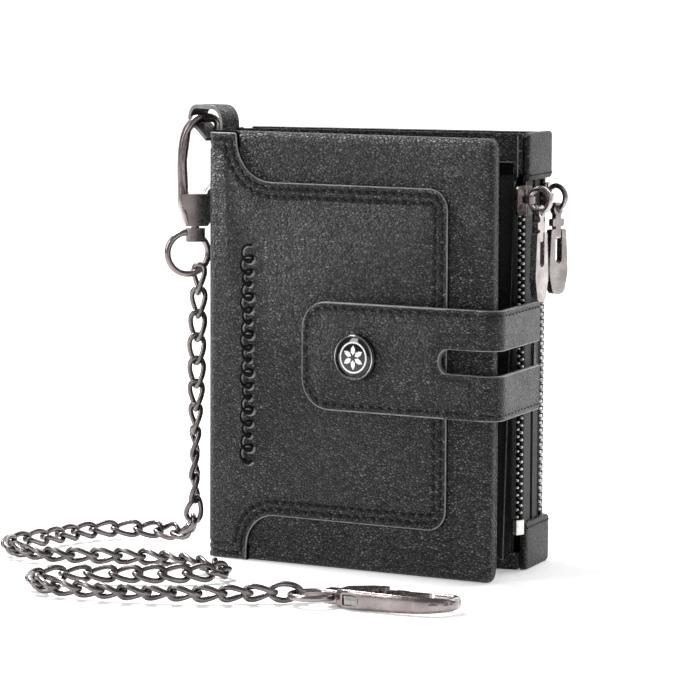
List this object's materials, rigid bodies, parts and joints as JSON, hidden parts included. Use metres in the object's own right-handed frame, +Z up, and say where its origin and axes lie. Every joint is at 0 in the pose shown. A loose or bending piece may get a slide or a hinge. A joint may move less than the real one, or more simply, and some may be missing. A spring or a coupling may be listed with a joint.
{
  "type": "chain wallet",
  "caption": "Black leather bifold wallet with two side zip pockets, a snap strap, and a curb chain with a swivel clasp at each end, standing slightly ajar.",
  "frame": {"origin": "on the surface the wallet stands on, under the middle of the zip pouches", "axes": "+X from the spine to the open side, -Y is the front cover, +Z up"},
  "size_m": [0.1604, 0.1225, 0.1311],
  "materials": {
    "leather": "pebbled, satin",
    "lining": "woven",
    "board": "fibre board",
    "tape": "woven",
    "teeth": "polished",
    "enamel": "gloss",
    "gunmetal": "polished gunmetal",
    "chain": "polished gunmetal",
    "spring": "bright"
  },
  "bodies": {
    "front": {"front_cover": "leather", "front_overlay": "leather", "cover_stiffener": "board", "cover_lining": "lining", "card_pocket_upper": "leather", "card_pocket_middle": "leather", "card_pocket_lower": "leather", "spine_panel": "leather", "snap_stud": "gunmetal", "chain_loop": "leather", "hook_body": "gunmetal", "hook_pin": "gunmetal", "hook_spring": "spring", "chain": "chain", "end_body": "gunmetal", "end_pin": "gunmetal", "end_spring": "spring"},
    "pouches": {"pouch_front_panel": "leather", "inner_pocket_upper": "leather", "inner_pocket_lower": "leather", "front_pouch": "lining", "pouch_divider": "lining", "pouch_base": "leather", "rear_pouch": "lining", "back_stiffener": "board", "back_cover": "leather", "back_overlay": "leather", "end_cap_top": "leather", "end_cap_bottom": "leather", "strap_anchor": "leather", "zip_a_teeth": "teeth", "zip_b_teeth": "teeth", "zip_a_stop": "teeth", "zip_a_tape": "tape", "zip_b_tape": "tape"},
    "strap_side": {"strap_side": "leather"},
    "strap_front": {"strap_front": "leather"},
    "strap_tab": {"strap_tab": "leather", "snap_cap": "gunmetal", "snap_inlay": "enamel", "snap_socket": "gunmetal"},
    "hook_swivel": {"hook_ring": "gunmetal", "hook_collar": "gunmetal"},
    "hook_gate": {"hook_gate": "gunmetal"},
    "end_swivel": {"end_ring": "gunmetal", "end_collar": "gunmetal"},
    "end_gate": {"end_gate": "gunmetal"},
    "slider_a": {"slider_a": "gunmetal"},
    "pull_ring_a": {"pull_ring_a": "gunmetal"},
    "pull_fork_a": {"pull_fork_a": "gunmetal"},
    "pull_tab_a": {"pull_tab_a": "gunmetal", "pull_pin_a": "gunmetal"},
    "slider_b": {"slider_b": "gunmetal"},
    "pull_ring_b": {"pull_ring_b": "gunmetal"},
    "pull_fork_b": {"pull_fork_b": "gunmetal"},
    "pull_tab_b": {"pull_tab_b": "gunmetal", "pull_pin_b": "gunmetal"}
  },
  "joints": [
    {"name": "wallet_open", "type": "hinge", "parent": "front", "child": "pouches", "pos_m": [-0.0467, 0.0102, 0.06], "axis": [0, 0, 1], "range_deg": [0, 165], "deforming": ["strap_front", "strap_tab", "snap_cap", "snap_inlay", "snap_socket"]},
    {"name": "strap_swing", "type": "hinge", "parent": "pouches", "child": "strap_side", "pos_m": [0.0475, -0.0036, 0.0614], "axis": [0, 0, 1], "range_deg": [0, 100]},
    {"name": "strap_unfold", "type": "hinge", "parent": "strap_side", "child": "strap_front", "pos_m": [0.0475, -0.04261, 0.0614], "axis": [0, 0, 1], "range_deg": [0, 103]},
    {"name": "tab_lift", "type": "hinge", "parent": "strap_front", "child": "strap_tab", "pos_m": [0.02943, -0.03843, 0.0614], "axis": [0, 0, 1], "range_deg": [0, 85]},
    {"name": "slider_a_travel", "type": "slide", "parent": "pouches", "child": "slider_a", "axis": [0, 0, 1], "range_m": [-0.022, 0]},
    {"name": "pull_ring_a_swing", "type": "hinge", "parent": "slider_a", "child": "pull_ring_a", "pos_m": [0.0472, -0.0128, 0.1063], "axis": [0, 0, 1], "range_deg": [-8, 30]},
    {"name": "pull_fork_a_swing", "type": "hinge", "parent": "pull_ring_a", "child": "pull_fork_a", "pos_m": [0.05045, -0.01337, 0.103], "axis": [-0.9848, 0.1736, 0], "range_deg": [-15, 30]},
    {"name": "pull_tab_a_lift", "type": "hinge", "parent": "pull_fork_a", "child": "pull_tab_a", "pos_m": [0.05045, -0.01337, 0.095], "axis": [-0.1736, -0.9848, 0], "range_deg": [0, 90]},
    {"name": "slider_b_travel", "type": "slide", "parent": "pouches", "child": "slider_b", "axis": [0, 0, 1], "range_m": [-0.072, 0]},
    {"name": "pull_ring_b_swing", "type": "hinge", "parent": "slider_b", "child": "pull_ring_b", "pos_m": [0.0476, 0.0044, 0.1063], "axis": [0, 0, 1], "range_deg": [-20, 30]},
    {"name": "pull_fork_b_swing", "type": "hinge", "parent": "pull_ring_b", "child": "pull_fork_b", "pos_m": [0.05059, 0.003, 0.103], "axis": [-0.9063, 0.4226, 0], "range_deg": [-30, 15]},
    {"name": "pull_tab_b_lift", "type": "hinge", "parent": "pull_fork_b", "child": "pull_tab_b", "pos_m": [0.05059, 0.003, 0.095], "axis": [-0.4226, -0.9063, 0], "range_deg": [0, 90]},
    {"name": "hook_swivel_turn", "type": "hinge", "parent": "front", "child": "hook_swivel", "pos_m": [-0.05592, -0.00957, 0.096], "axis": [0, 0, 1], "range_deg": [-40, 40]},
    {"name": "hook_gate_open", "type": "hinge", "parent": "front", "child": "hook_gate", "pos_m": [-0.051, -0.00613, 0.1052], "axis": [0.5736, -0.8192, 0], "range_deg": [0, 20], "stiffness_Nm_per_rad": 0.01, "deforming": ["hook_spring"]},
    {"name": "end_swivel_turn", "type": "hinge", "parent": "front", "child": "end_swivel", "pos_m": [0.01958, -0.0907, 0.0028], "axis": [0.9903, -0.1392, 0], "range_deg": [-8, 8]},
    {"name": "end_gate_open", "type": "hinge", "parent": "front", "child": "end_gate", "pos_m": [0.02953, -0.08604, 0.0028], "axis": [0, 0, -1], "range_deg": [0, 20], "stiffness_Nm_per_rad": 0.01, "deforming": ["end_spring"]}
  ],
  "couplings": [
    {"joint": "strap_swing", "follows": "wallet_open", "ratio": 0.6},
    {"joint": "strap_unfold", "follows": "wallet_open", "ratio": 0.62}
  ]
}
